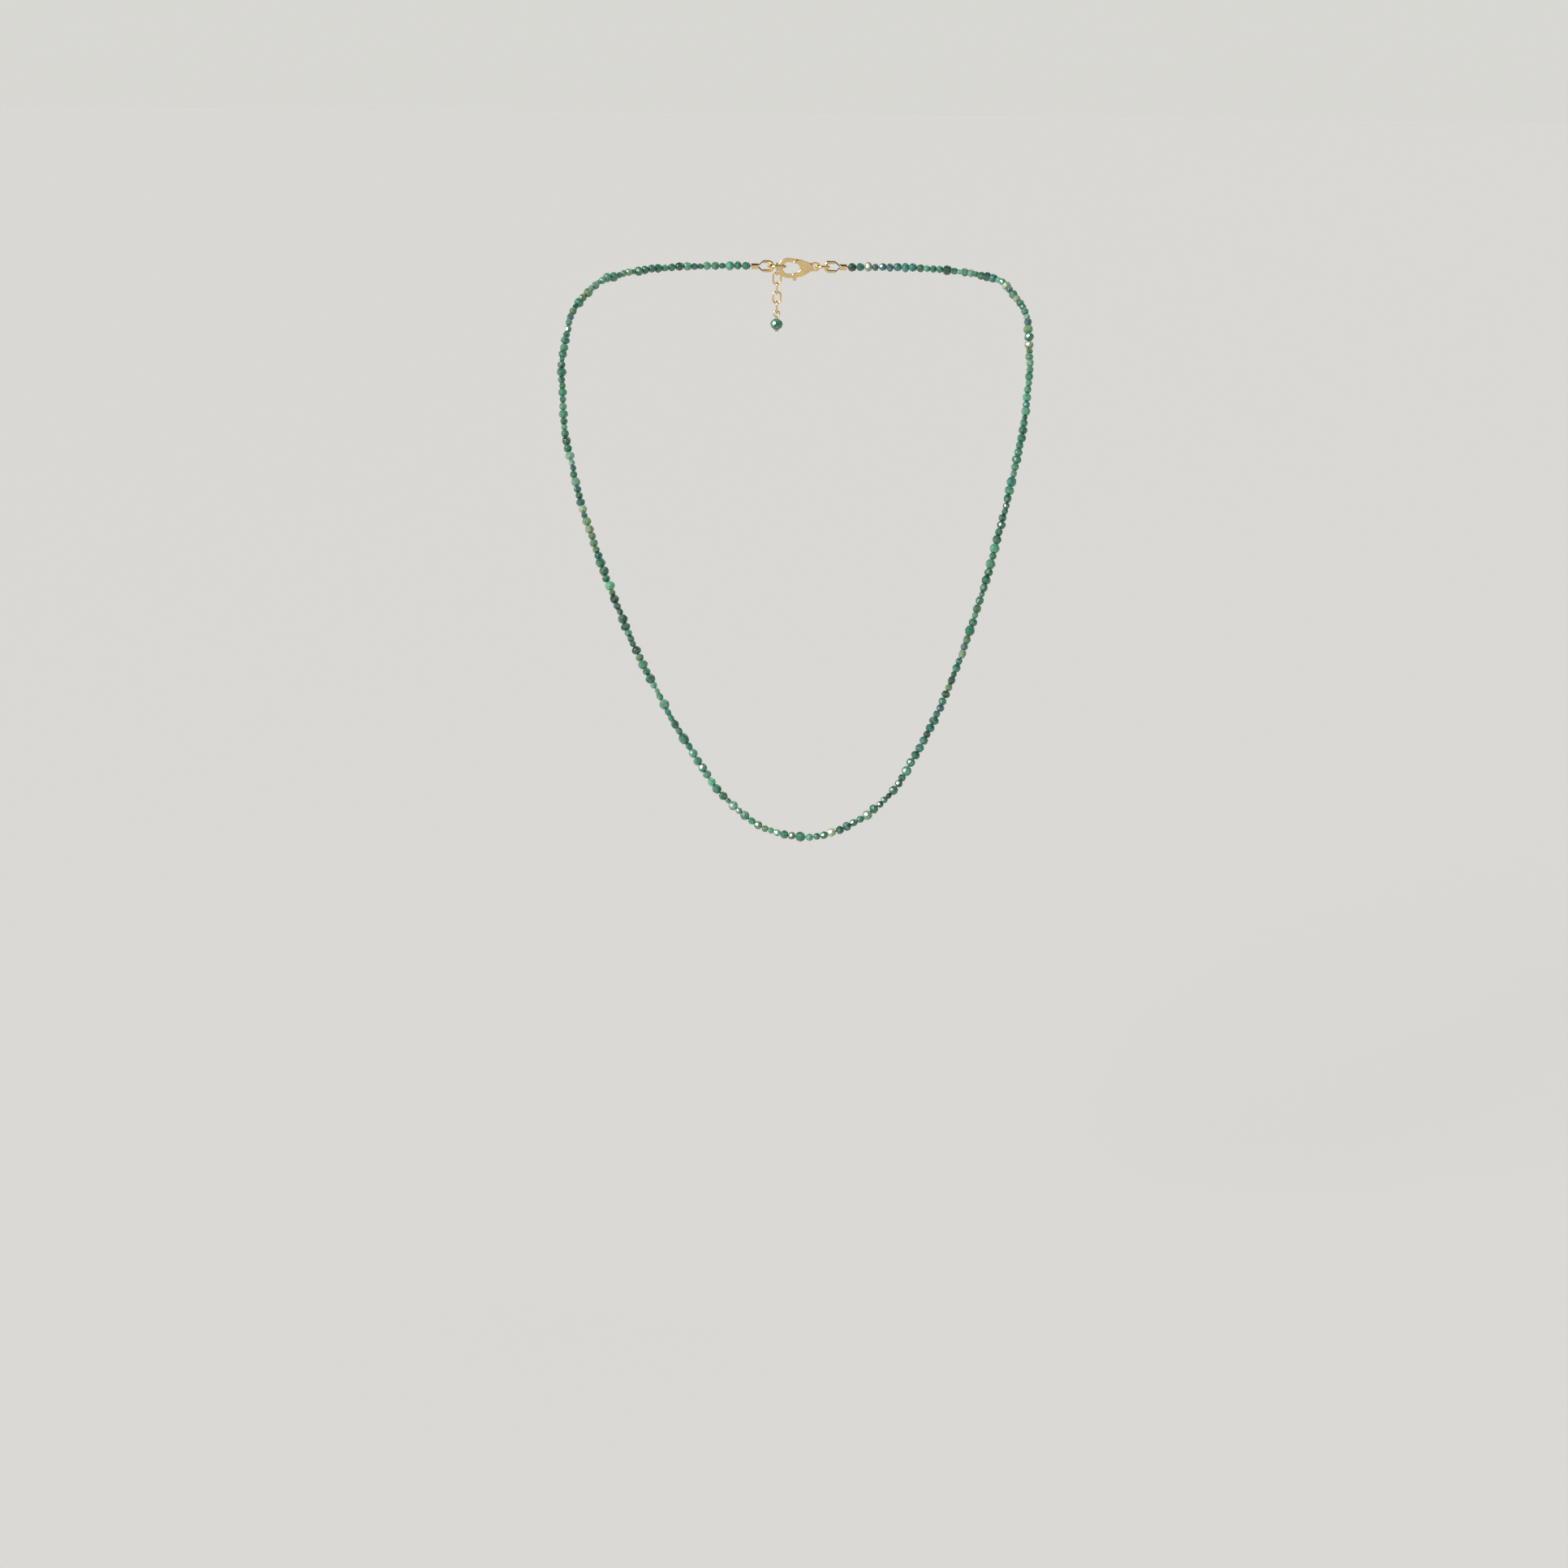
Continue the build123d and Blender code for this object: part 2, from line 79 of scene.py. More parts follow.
# Camera: in front, a little above, looking down at the strand
CAMERA_PLACE = Vector((-0.00245, -0.8309, 0.04575))
CAMERA_DOWN = math.radians(12.0)
CAMERA_ROLL = math.radians(0.62)
CAMERA_LENS = 75.0
CAMERA_SENSOR = 36.0
CAMERA_NEAREST = 0.01

# The studio: a wide floor at the height of the table that the display stood on, under a plain sky
FLOOR_Z = -0.245
FLOOR_RADIUS = 40.0
FLOOR_SIDES = 96
PALE_GREY = (0.80, 0.80, 0.78, 1)
LOW_SKY = (0.69, 0.685, 0.655, 1)
HIGH_SKY = (0.05, 0.053, 0.056, 1)
# Sines of the heights above the horizon where the sky stops being pale and where it is dim
PALE_SKY_TOP = 0.24
DIM_SKY_START = 0.50
# Lights: where each comes from, its width in degrees, its strength and its colour
WINDOW_LIGHT = ((-0.66, -0.57, 0.48), 24, 3.7, (1.0, 0.98, 0.96))
BACK_LIGHT = ((0.25, 0.5, 0.8), 50, 0.65, (1.0, 1.0, 1.0))

# Colours inside the materials
MILKY_GREEN = (0.17, 0.38, 0.27, 1)
VEIN_GREEN = (0.012, 0.05, 0.028, 1)
FLECK_GREEN = (0.45, 0.62, 0.48, 1)
DEEP_GOLD = (0.76, 0.52, 0.22, 1)
PALE_GOLD = (0.88, 0.68, 0.36, 1)
DARK_STEEL = (0.42, 0.42, 0.43, 1)
PALE_STEEL = (0.62, 0.62, 0.63, 1)
DARK_COAT = (0.035, 0.05, 0.042, 1)
PALE_COAT = (0.11, 0.13, 0.12, 1)

# Reading of the CAD beads: how alike two directions are, as a cosine, on an end and on a wall
SIDE_SPANS = 7
WELD_DISTANCE = 0.002
END_COSINE = 0.93
WALL_COSINE = 0.2

# Cut of a stone, in millimetres and degrees. A row of facets has its tilt, its count and its stagger
STONE_BELT_ROWS = ((19, 9, 0.0), (-19, 9, 0.5))
STONE_END_ROWS = ((52, 8, 0.5), (-52, 8, 0.0))
STONE_TILT_SPREAD = 6
STONE_TURN_SPREAD = 0.16
STONE_BELT_DEPTH = (0.90, 0.96)
STONE_END_DEPTH = (0.97, 1.12)
STONE_NARROWEST = 0.85
STONE_FLATNESS = 1.0
STONE_END_RADIUS = 0.45
STONE_REACH = 1.05
STONE_EDGE = 0.035
STONE_SHORTEST_EDGE = 0.004
HOLE_RADIUS = 0.26
HOLE_CHAMFER = 0.05
HOLE_SIDES = 14
HOLE_RIM_LEAST = 0.02

# Wire across a fold, in millimetres
WIRE_RADIUS = 0.155
BRIDGE_HALF_LENGTH = 0.3
BRIDGE_STEPS = 13
BRIDGE_SIDES = 16

# Rings and links
RING_STEPS = 96
RING_SIDES = 28
RING_SEAM_ANGLE = math.radians(62)
JUMP_RING_SEAM = 0.04
LINK_SIDE_STEPS = 9
LINK_SIDE_SHARE = 0.999
LINK_TURN_STEPS = 24
LINK_SIDES = 22

# Crimp tubes: the bore is in millimetres, and the dents are shares of the tube's radius
CRIMP_BORE = 0.46
CRIMP_STATIONS = 25
CRIMP_SIDES = 48
CRIMP_EDGE_DROP = 0.05
CRIMP_EDGE_SHARE = 0.1
CRIMP_FLAT = 0.07
CRIMP_FOLD = 0.20
CRIMP_FOLD_WIDTH = 0.28

# Castings: how much of the remesh's faces stays
CAST_KEPT = 0.3


def seeded(name):
    """Return a random source of a piece's own, so that pieces don't depend on each other's draws."""
    return random.Random("green strand " + name)


# ---------------------------------------------------------------- camera, floor and light


def make_camera():
    """Place the camera, with its small roll."""
    data = bpy.data.cameras.new("camera")
    data.lens = CAMERA_LENS
    data.sensor_width = CAMERA_SENSOR
    data.clip_start = CAMERA_NEAREST
    camera = bpy.data.objects.new("camera", data)
    bpy.context.scene.collection.objects.link(camera)
    tilt = Matrix.Rotation(math.radians(90) - CAMERA_DOWN, 4, "X")
    roll = Matrix.Rotation(CAMERA_ROLL, 4, "Z")
    camera.matrix_world = Matrix.Translation(CAMERA_PLACE) @ tilt @ roll
    bpy.context.scene.camera = camera


def make_stage():
    """Make a plain pale floor, so wide that its edge is out at the horizon."""
    bm = bmesh.new()
    bmesh.ops.create_circle(bm, cap_ends=True, radius=FLOOR_RADIUS, segments=FLOOR_SIDES)
    bmesh.ops.translate(bm, vec=(0, 0, FLOOR_Z), verts=bm.verts)
    mesh = bpy.data.meshes.new("studio_floor")
    bm.to_mesh(mesh)
    bm.free()
    floor = bpy.data.objects.new("studio_floor", mesh)
    bpy.context.scene.collection.objects.link(floor)
    material, shader = new_material("stage_paper")
    shader.inputs["Base Color"].default_value = PALE_GREY
    shader.inputs["Roughness"].default_value = 0.9
    shader.inputs["Specular IOR Level"].default_value = 0.15
    mesh.materials.append(material)


def add_wide_light(name, direction, angle, strength, colour):
    """Add one far, wide, even light that comes from a direction."""
    data = bpy.data.lights.new(name, "SUN")
    data.angle = math.radians(angle)
    data.energy = strength
    data.color = colour
    light = bpy.data.objects.new(name, data)
    bpy.context.scene.collection.objects.link(light)
    light.rotation_mode = "QUATERNION"
    light.rotation_quaternion = Vector(direction).to_track_quat("Z", "Y")


def make_light():
    """Light the strand from the left and above, as by a window, under a sky that is pale low down."""
    add_wide_light("window_light", *WINDOW_LIGHT)
    add_wide_light("back_light", *BACK_LIGHT)
    world = bpy.data.worlds.new("studio")
    world.use_nodes = True
    tree = world.node_tree
    direction = tree.nodes.new("ShaderNodeTexCoord").outputs["Generated"]
    split = tree.nodes.new("ShaderNodeSeparateXYZ")
    ramp = tree.nodes.new("ShaderNodeValToRGB")
    ramp.color_ramp.interpolation = "EASE"
    ramp.color_ramp.elements[0].position = PALE_SKY_TOP
    ramp.color_ramp.elements[0].color = LOW_SKY
    ramp.color_ramp.elements[1].position = DIM_SKY_START
    ramp.color_ramp.elements[1].color = HIGH_SKY
    tree.links.new(direction, split.inputs[0])
    tree.links.new(split.outputs["Z"], ramp.inputs["Fac"])
    tree.links.new(ramp.outputs["Color"], tree.nodes["Background"].inputs["Color"])
    bpy.context.scene.world = world
    bpy.context.scene.view_settings.view_transform = "Standard"


# ---------------------------------------------------------------- materials


def new_material(name):
    """Return a new node material and its main shader."""
    material = bpy.data.materials.new(name)
    material.use_nodes = True
    return material, material.node_tree.nodes["Principled BSDF"]


def add_noise(tree, coordinates, scale, detail, roughness=0.5):
    """Add a noise texture on some coordinates and return its node."""
    noise = tree.nodes.new("ShaderNodeTexNoise")
    noise.inputs["Scale"].default_value = scale
    noise.inputs["Detail"].default_value = detail
    noise.inputs["Roughness"].default_value = roughness
    tree.links.new(coordinates, noise.inputs["Vector"])
    return noise


def add_range(tree, value, low, high, to_low, to_high):
    """Map a value from one range to another and return the result's socket."""
    mapping = tree.nodes.new("ShaderNodeMapRange")
    mapping.inputs["From Min"].default_value = low
    mapping.inputs["From Max"].default_value = high
    mapping.inputs["To Min"].default_value = to_low
    mapping.inputs["To Max"].default_value = to_high
    tree.links.new(value, mapping.inputs["Value"])
    return mapping.outputs["Result"]


def add_mix(tree, factor, first, second, blend="MIX"):
    """Mix two colours, each a socket or a fixed colour, and return the result's socket."""
    mix = tree.nodes.new("ShaderNodeMix")
    mix.data_type = "RGBA"
    mix.blend_type = blend
    sockets = [mix.inputs[0]] + [s for s in mix.inputs if s.type == "RGBA"]
    for socket, value in zip(sockets, (factor, first, second)):
        if isinstance(value, bpy.types.NodeSocket):
            tree.links.new(value, socket)
        else:
            socket.default_value = value
    return [s for s in mix.outputs if s.type == "RGBA"][0]


def add_bump(tree, shader, height, strength, distance):
    """Drive the shader's normal from a height."""
    bump = tree.nodes.new("ShaderNodeBump")
    bump.inputs["Strength"].default_value = strength
    bump.inputs["Distance"].default_value = distance
    tree.links.new(height, bump.inputs["Height"])
    tree.links.new(bump.outputs["Normal"], shader.inputs["Normal"])


def make_stone_material():
    """Polished green stone: each bead's own colour, clouded, with dark veins and pale flecks."""
    material, shader = new_material("green_stone_polished")
    tree = material.node_tree
    place = tree.nodes.new("ShaderNodeTexCoord").outputs["Object"]
    own = tree.nodes.new("ShaderNodeAttribute")
    own.attribute_name = "stone_colour"
    clouds = add_noise(tree, place, scale=900.0, detail=4.0, roughness=0.62)
    cloudy = add_range(tree, clouds.outputs["Fac"], low=0.44, high=0.66, to_low=0.0, to_high=0.5)
    milky = add_mix(tree, cloudy, own.outputs["Color"], MILKY_GREEN)
    veins = add_noise(tree, place, scale=1900.0, detail=6.0, roughness=0.72)
    veined = add_range(tree, veins.outputs["Fac"], low=0.50, high=0.66, to_low=0.0, to_high=0.85)
    dark = add_mix(tree, veined, milky, VEIN_GREEN)
    flecks = add_noise(tree, place, scale=7000.0, detail=2.0)
    flecked = add_range(tree, flecks.outputs["Fac"], low=0.68, high=0.76, to_low=0.0, to_high=0.35)
    tree.links.new(add_mix(tree, flecked, dark, FLECK_GREEN), shader.inputs["Base Color"])
    dullness = add_range(tree, veins.outputs["Fac"], low=0.3, high=0.75, to_low=0.12, to_high=0.30)
    tree.links.new(dullness, shader.inputs["Roughness"])
    add_bump(tree, shader, flecks.outputs["Fac"], strength=0.12, distance=0.00002)
    shader.inputs["IOR"].default_value = 1.58
    shader.inputs["Coat Weight"].default_value = 0.35
    shader.inputs["Coat Roughness"].default_value = 0.05
    shader.inputs["Subsurface Weight"].default_value = 0.12
    shader.inputs["Subsurface Radius"].default_value = (0.6, 1.0, 0.7)
    shader.inputs["Subsurface Scale"].default_value = 0.0006
    return material


def make_gold_material():
    """Gold-tone cast and drawn metal, polished, with fine wear that dulls it in patches."""
    material, shader = new_material("gold_metal_polished")
    tree = material.node_tree
    place = tree.nodes.new("ShaderNodeTexCoord").outputs["Object"]
    patches = add_noise(tree, place, scale=600.0, detail=5.0, roughness=0.6)
    tone = add_range(tree, patches.outputs["Fac"], low=0.3, high=0.7, to_low=0.0, to_high=1.0)
    colour = add_mix(tree, tone, DEEP_GOLD, PALE_GOLD)
    tree.links.new(colour, shader.inputs["Base Color"])
    scratches = add_noise(tree, place, scale=9000.0, detail=3.0)
    dullness = add_range(tree, scratches.outputs["Fac"], low=0.3, high=0.75, to_low=0.10, to_high=0.28)
    tree.links.new(dullness, shader.inputs["Roughness"])
    add_bump(tree, shader, scratches.outputs["Fac"], strength=0.05, distance=0.00001)
    shader.inputs["Metallic"].default_value = 1.0
    return material


def make_steel_material():
    """Bright spring steel, faintly brushed."""
    material, shader = new_material("spring_steel_satin")
    tree = material.node_tree
    place = tree.nodes.new("ShaderNodeTexCoord").outputs["Object"]
    grain = add_noise(tree, place, scale=12000.0, detail=3.0)
    colour = add_mix(tree, grain.outputs["Fac"], DARK_STEEL, PALE_STEEL)
    tree.links.new(colour, shader.inputs["Base Color"])
    dullness = add_range(tree, grain.outputs["Fac"], low=0.3, high=0.7, to_low=0.22, to_high=0.4)
    tree.links.new(dullness, shader.inputs["Roughness"])
    shader.inputs["Metallic"].default_value = 1.0
    return material


def make_wire_material():
    """Nylon-coated beading wire, dark, with the lay of its strands showing through the coat."""
    material, shader = new_material("beading_wire_coated")
    tree = material.node_tree
    place = tree.nodes.new("ShaderNodeTexCoord").outputs["Object"]
    lay = tree.nodes.new("ShaderNodeTexWave")
    lay.bands_direction = "DIAGONAL"
    lay.inputs["Scale"].default_value = 2500.0
    lay.inputs["Distortion"].default_value = 1.5
    tree.links.new(place, lay.inputs["Vector"])
    colour = add_mix(tree, lay.outputs["Fac"], DARK_COAT, PALE_COAT)
    tree.links.new(colour, shader.inputs["Base Color"])
    dullness = add_range(tree, lay.outputs["Fac"], low=0.0, high=1.0, to_low=0.3, to_high=0.45)
    tree.links.new(dullness, shader.inputs["Roughness"])
    add_bump(tree, shader, lay.outputs["Fac"], strength=0.25, distance=0.00003)
    shader.inputs["Metallic"].default_value = 0.35
    return material


# ---------------------------------------------------------------- meshes


def link_mesh(name, bm, material, smooth):
    """Turn a bmesh in millimetres into a linked object in metres."""
    mesh = bpy.data.meshes.new(name)
    bmesh.ops.recalc_face_normals(bm, faces=bm.faces)
    bmesh.ops.scale(bm, vec=(MM, MM, MM), verts=bm.verts)
    bm.to_mesh(mesh)
    bm.free()
    mesh.materials.append(material)
    if smooth:
        mesh.shade_smooth()
    piece = bpy.data.objects.new(name, mesh)
    bpy.context.scene.collection.objects.link(piece)
    return piece


def join_rings(bm, rings):
    """Join each ring of vertices to the next one with four-sided faces."""
    for ring, following in zip(rings, rings[1:]):
        for side in range(len(ring)):
            other = (side + 1) % len(ring)
            bm.faces.new((ring[side], ring[other], following[other], following[side]))


def pointing(direction, along):
    """Return a direction or its opposite, whichever points the way that along does."""
    return direction if direction.dot(along) > 0 else -direction


def stand_for(piece, node):
    """Put a piece in a CAD node's place: on its body, and shown in its stead."""
    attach(piece, NODES[node]["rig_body"])
    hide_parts(node)


def islands_of(node):
    """Return a CAD node's separate solids, each as its corners and its faces, in millimetres.

    A face is given by its normal, its middle and its area.
    """
    bm = bmesh.new()
    bm.from_mesh(NODES[node].data)
    bmesh.ops.scale(bm, vec=(1 / MM,) * 3, verts=bm.verts)
    bmesh.ops.remove_doubles(bm, verts=bm.verts, dist=WELD_DISTANCE)
    seen = set()
    islands = []
    for start in bm.verts:
        if start in seen:
            continue
        seen.add(start)
        found = [start]
        for vertex in found:
            for edge in vertex.link_edges:
                other = edge.other_vert(vertex)
                if other not in seen:
                    seen.add(other)
                    found.append(other)
        faces = dict.fromkeys(face for vertex in found for face in vertex.link_faces)
        sides = [(face.normal.copy(), face.calc_center_median(), face.calc_area()) for face in faces]
        islands.append(([vertex.co.copy() for vertex in found], sides))
    bm.free()
    return islands


def middle_of(points):
    """Return the middle of the box around some points."""
    low = Vector(min(p[i] for p in points) for i in range(3))
    high = Vector(max(p[i] for p in points) for i in range(3))
    return (low + high) / 2


def measure_bead(points, faces, along):
    """Return a CAD bead's drill axis, the middles of its hole and of its body, its length and radius."""
    ends = [(normal, area) for normal, _, area in faces if abs(normal.dot(along)) > END_COSINE]
    axis = sum((pointing(normal, along) * area for normal, area in ends), Vector())
    axis.normalize()
    heights = [point.dot(axis) for point in points]
    length = max(heights) - min(heights)
    centre = middle_of(points)
    centre += axis * ((max(heights) + min(heights)) / 2 - centre.dot(axis))
    walls = []
    for normal, spot, _ in faces:
        out = spot - centre
        out -= axis * out.dot(axis)
        if abs(normal.dot(axis)) < WALL_COSINE and normal.dot(out) < 0:
            walls.append(spot)
    hole = sum(walls, Vector()) / len(walls)
    hole += axis * (centre - hole).dot(axis)
    belt = [point - centre for point in points]
    radius = max((p - axis * p.dot(axis)).length for p in belt)
    return {"axis": axis, "hole": hole, "centre": centre, "length": length, "radius": radius}


def find_beads():
    """Measure every bead of the strand, in the order that they hang on the wire."""
    names = ["beads_nape_left"] + [f"beads_left_{k}" for k in range(1, SIDE_SPANS + 1)]
    names += ["beads_front"] + [f"beads_right_{k}" for k in range(SIDE_SPANS, 0, -1)]
    names += ["beads_nape_right"]
    beads = []
    reached = Vector((0.0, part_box("beads_nape_left")[1].y / MM, 0.0))
    for name in names:
        left = [(middle_of(points), points, faces) for points, faces in islands_of(name)]
        while left:
            nearest = min(range(len(left)), key=lambda i: (left[i][0] - reached).length)
            middle, points, faces = left.pop(nearest)
            beads.append({"node": name, "middle": middle, "points": points, "faces": faces})
            reached = middle
    for index, bead in enumerate(beads):
        before = beads[max(index - 1, 0)]["middle"]
        after = beads[min(index + 1, len(beads) - 1)]["middle"]
        along = (after - before).normalized()
        bead.update(measure_bead(bead.pop("points"), bead.pop("faces"), along))
    return beads


def facet_planes(length, radius, dice):
    """Return a stone's facets, each a direction and a distance: two flat ends and four uneven rows."""
    narrowing = min(STONE_END_RADIUS / radius, STONE_NARROWEST)
    half = length / 2 / math.sqrt(1 - narrowing * narrowing)
    planes = [(Vector((0, 0, 1)), length / 2), (Vector((0, 0, -1)), length / 2)]
    for latitude, count, stagger in STONE_BELT_ROWS + STONE_END_ROWS:
        for side in range(count):
            up = math.radians(latitude + dice.uniform(-STONE_TILT_SPREAD, STONE_TILT_SPREAD))
            turn = side + stagger + dice.uniform(-STONE_TURN_SPREAD, STONE_TURN_SPREAD)
            around = math.tau * turn / count
            level = math.cos(up)
            rise = math.sin(up)
            facing = Vector((level * math.cos(around), level * math.sin(around), rise))
            if (latitude, count, stagger) in STONE_BELT_ROWS:
                distance = math.hypot(radius * level, half * rise) * dice.uniform(*STONE_BELT_DEPTH)
            else:
                end_radius = STONE_END_RADIUS * dice.uniform(*STONE_END_DEPTH)
                distance = end_radius * level + length / 2 * abs(rise)
            planes.append((facing, distance))
    return planes


def cut_stone(planes):
    """Return the closed stone that some planes cut: the corners are the faces of the dual hull."""
    dual = bmesh.new()
    for facing, distance in planes:
        dual.verts.new(facing / distance)
    bmesh.ops.convex_hull(dual, input=dual.verts)
    corners = []
    for face in dual.faces:
        reach = face.normal.dot(face.verts[0].co)
        corners.append(face.normal / reach)
    dual.free()
    stone = bmesh.new()
    for corner in corners:
        stone.verts.new(corner)
    bmesh.ops.remove_doubles(stone, verts=stone.verts, dist=STONE_SHORTEST_EDGE)
    hull = bmesh.ops.convex_hull(stone, input=stone.verts)
    unused = [v for v in hull["geom_interior"] if isinstance(v, bmesh.types.BMVert)]
    bmesh.ops.delete(stone, geom=unused, context="VERTS")
    flat = math.radians(STONE_FLATNESS)
    bmesh.ops.dissolve_limit(stone, angle_limit=flat, verts=stone.verts, edges=stone.edges)
    return stone


def zip_rings(bm, outer, inner, centre):
    """Fill the flat space between two rings around a centre, with triangles in turn from each ring."""
    def angle(vertex):
        return math.atan2(vertex.co.y - centre.y, vertex.co.x - centre.x)

    loops = [sorted(outer, key=angle), sorted(inner, key=angle)]
    turns = [[angle(vertex) for vertex in loop] for loop in loops]
    for loop, turn in zip(loops, turns):
        loop.append(loop[0])
        turn.append(turn[0] + math.tau)
    at = [0, 0]
    while at[0] < len(outer) or at[1] < len(inner):
        following = [turns[k][at[k] + 1] if at[k] + 1 < len(turns[k]) else math.inf for k in (0, 1)]
        k = 0 if following[0] < following[1] else 1
        bm.faces.new((loops[0][at[0]], loops[k][at[k] + 1], loops[1][at[1]]))
        at[k] += 1


def drill_stone(stone, length, radius, shift):
    """Bevel a stone's edges and drill it, with a small chamfer round each mouth.

    The stone first shrinks where a corner stands well past its CAD radius. Where an end is narrow,
    the mouth's chamfer is too, and the hole's shift, which is returned, is cut short.
    """
    narrower = min(STONE_REACH * radius / max(vertex.co.xy.length for vertex in stone.verts), 1.0)
    bmesh.ops.scale(stone, vec=(narrower, narrower, 1), verts=stone.verts)
    bevel = {"offset": STONE_EDGE, "segments": 1, "affect": "EDGES", "clamp_overlap": True}
    bmesh.ops.bevel(stone, geom=list(stone.edges), **bevel)
    bmesh.ops.remove_doubles(stone, verts=stone.verts, dist=STONE_SHORTEST_EDGE)
    flats = [max(stone.faces, key=lambda face: face.calc_center_median().z * end) for end in (1, -1)]
    rims = [list(flat.verts) for flat in flats]
    middles = [(edge.verts[0].co + edge.verts[1].co) / 2 for flat in flats for edge in flat.edges]
    room = min(spot.xy.length for spot in middles) - HOLE_RIM_LEAST
    mouth = min(HOLE_RADIUS + HOLE_CHAMFER, room)
    bore = min(HOLE_RADIUS, mouth - HOLE_RIM_LEAST)
    if shift.length > room - mouth:
        shift *= (room - mouth) / shift.length
    bores = []
    for end, flat, rim in zip((1, -1), flats, rims):
        stone.faces.remove(flat)
        rings = []
        for hole_radius, depth in ((mouth, 0.0), (bore, mouth - bore)):
            ring = []
            for side in range(HOLE_SIDES):
                angle = math.tau * side / HOLE_SIDES
                out = Vector((math.cos(angle), math.sin(angle), 0)) * hole_radius
                rise = Vector((0, 0, end * (length / 2 - depth)))
                ring.append(stone.verts.new(shift + out + rise))
            rings.append(ring)
        zip_rings(stone, rim, rings[0], shift)
        bores.append(rings)
    join_rings(stone, [bores[0][0], bores[0][1], bores[1][1], bores[1][0]])
    bmesh.ops.recalc_face_normals(stone, faces=stone.faces)
    return shift


# Colours of the stones, and how often each comes up in a stretch of the strand
STONE_COLOURS = {
    "emerald": (0.010, 0.140, 0.070),
    "deep_green": (0.007, 0.070, 0.036),
    "teal": (0.009, 0.120, 0.095),
    "mint": (0.065, 0.255, 0.155),
    "jade": (0.170, 0.340, 0.230),
    "moss": (0.085, 0.18, 0.070),
    "straw": (0.26, 0.33, 0.19),
    "slate": (0.036, 0.085, 0.115),
    "ink": (0.006, 0.035, 0.024),
}
STRETCHES = (
    {"emerald": 5, "mint": 4, "teal": 4, "jade": 1, "deep_green": 2},
    {"moss": 3, "mint": 5, "jade": 2, "emerald": 4, "straw": 1, "slate": 1},
    {"emerald": 5, "teal": 4, "mint": 3, "deep_green": 3, "jade": 1},
    {"moss": 2, "teal": 4, "emerald": 4, "slate": 2, "jade": 1, "straw": 1, "ink": 1},
    {"deep_green": 4, "emerald": 5, "ink": 1, "mint": 3, "moss": 2},
)
STRETCH_BEADS = 17
LIGHTNESS_SPREAD = 0.22
WARMTH_SPREAD = 0.06


def pick_colour(index, dice):
    """Pick a bead's colour, from the mixture that its stretch of the strand has."""
    mixture = STRETCHES[(index // STRETCH_BEADS) % len(STRETCHES)]
    name = dice.choices(list(mixture), weights=list(mixture.values()))[0]
    lightness = math.exp(dice.gauss(0.0, LIGHTNESS_SPREAD))
    warmth = dice.gauss(0.0, WARMTH_SPREAD)
    red, green, blue = STONE_COLOURS[name]
    warm_red = red * lightness * (1 + warmth)
    warm_blue = blue * lightness * (1 - warmth)
    return (warm_red, green * lightness, warm_blue, 1.0)


def add_stone(group, bead, colour, dice):
    """Cut, drill and place one stone in a group's mesh."""
    stone = cut_stone(facet_planes(bead["length"], bead["radius"], dice))
    turn = bead["axis"].to_track_quat("Z", "Y") @ Quaternion((0, 0, 1), dice.uniform(0, math.tau))
    shift = turn.inverted() @ (bead["hole"] - bead["centre"])
    shift.z = 0.0
    shift = drill_stone(stone, bead["length"], bead["radius"], shift)
    middle = bead["hole"] - turn @ shift
    stone.transform(Matrix.Translation(middle) @ turn.to_matrix().to_4x4())
    layer = group.verts.layers.float_color["stone_colour"]
    copies = {}
    for vertex in stone.verts:
        copy = group.verts.new(vertex.co)
        copy[layer] = colour
        copies[vertex] = copy
    for face in stone.faces:
        group.faces.new([copies[vertex] for vertex in face.verts])
    stone.free()


def new_stone_group():
    """Return an empty mesh that holds each vertex's stone colour."""
    group = bmesh.new()
    group.verts.layers.float_color.new("stone_colour")
    return group


def make_beads(beads, material):
    """Make each span's stones as one piece, in the place of the span's CAD beads."""
    spans = {}
    for index, bead in enumerate(beads):
        spans.setdefault(bead["node"], []).append((index, bead))
    for node, members in spans.items():
        dice = seeded(node)
        group = new_stone_group()
        for index, bead in members:
            add_stone(group, bead, pick_colour(index, dice), dice)
        piece = link_mesh("stones_" + node[len("beads_"):], group, material, smooth=False)
        stand_for(piece, node)


def make_drop_bead(material):
    """Make the drop's stone, larger than the strand's and cut the same way."""
    points, faces = islands_of("drop_bead")[0]
    bead = measure_bead(points, faces, Vector((0, 0, 1)))
    group = new_stone_group()
    dice = seeded("drop_bead")
    add_stone(group, bead, (*STONE_COLOURS["emerald"], 1.0), dice)
    piece = link_mesh("drop_stone", group, material, smooth=False)
    stand_for(piece, "drop_bead")


def add_tube(bm, points, radius, sides, closed=False):
    """Add a round tube along some points, with flat ends unless it is closed."""
    count = len(points)
    rings = []
    carried = None
    for index, point in enumerate(points):
        before = points[(index - 1) % count] if closed or index else point
        after = points[(index + 1) % count] if closed or index < count - 1 else point
        along = (after - before).normalized()
        if carried is None:
            carried = along.orthogonal()
        carried = (carried - along * carried.dot(along)).normalized()
        sideways = along.cross(carried)
        ring = []
        for side in range(sides):
            angle = math.tau * side / sides
            out = carried * math.cos(angle) + sideways * math.sin(angle)
            ring.append(bm.verts.new(point + out * radius))
        rings.append(ring)
    join_rings(bm, rings + rings[:1] if closed else rings)
    if not closed:
        bm.faces.new(list(reversed(rings[0])))
        bm.faces.new(rings[-1])


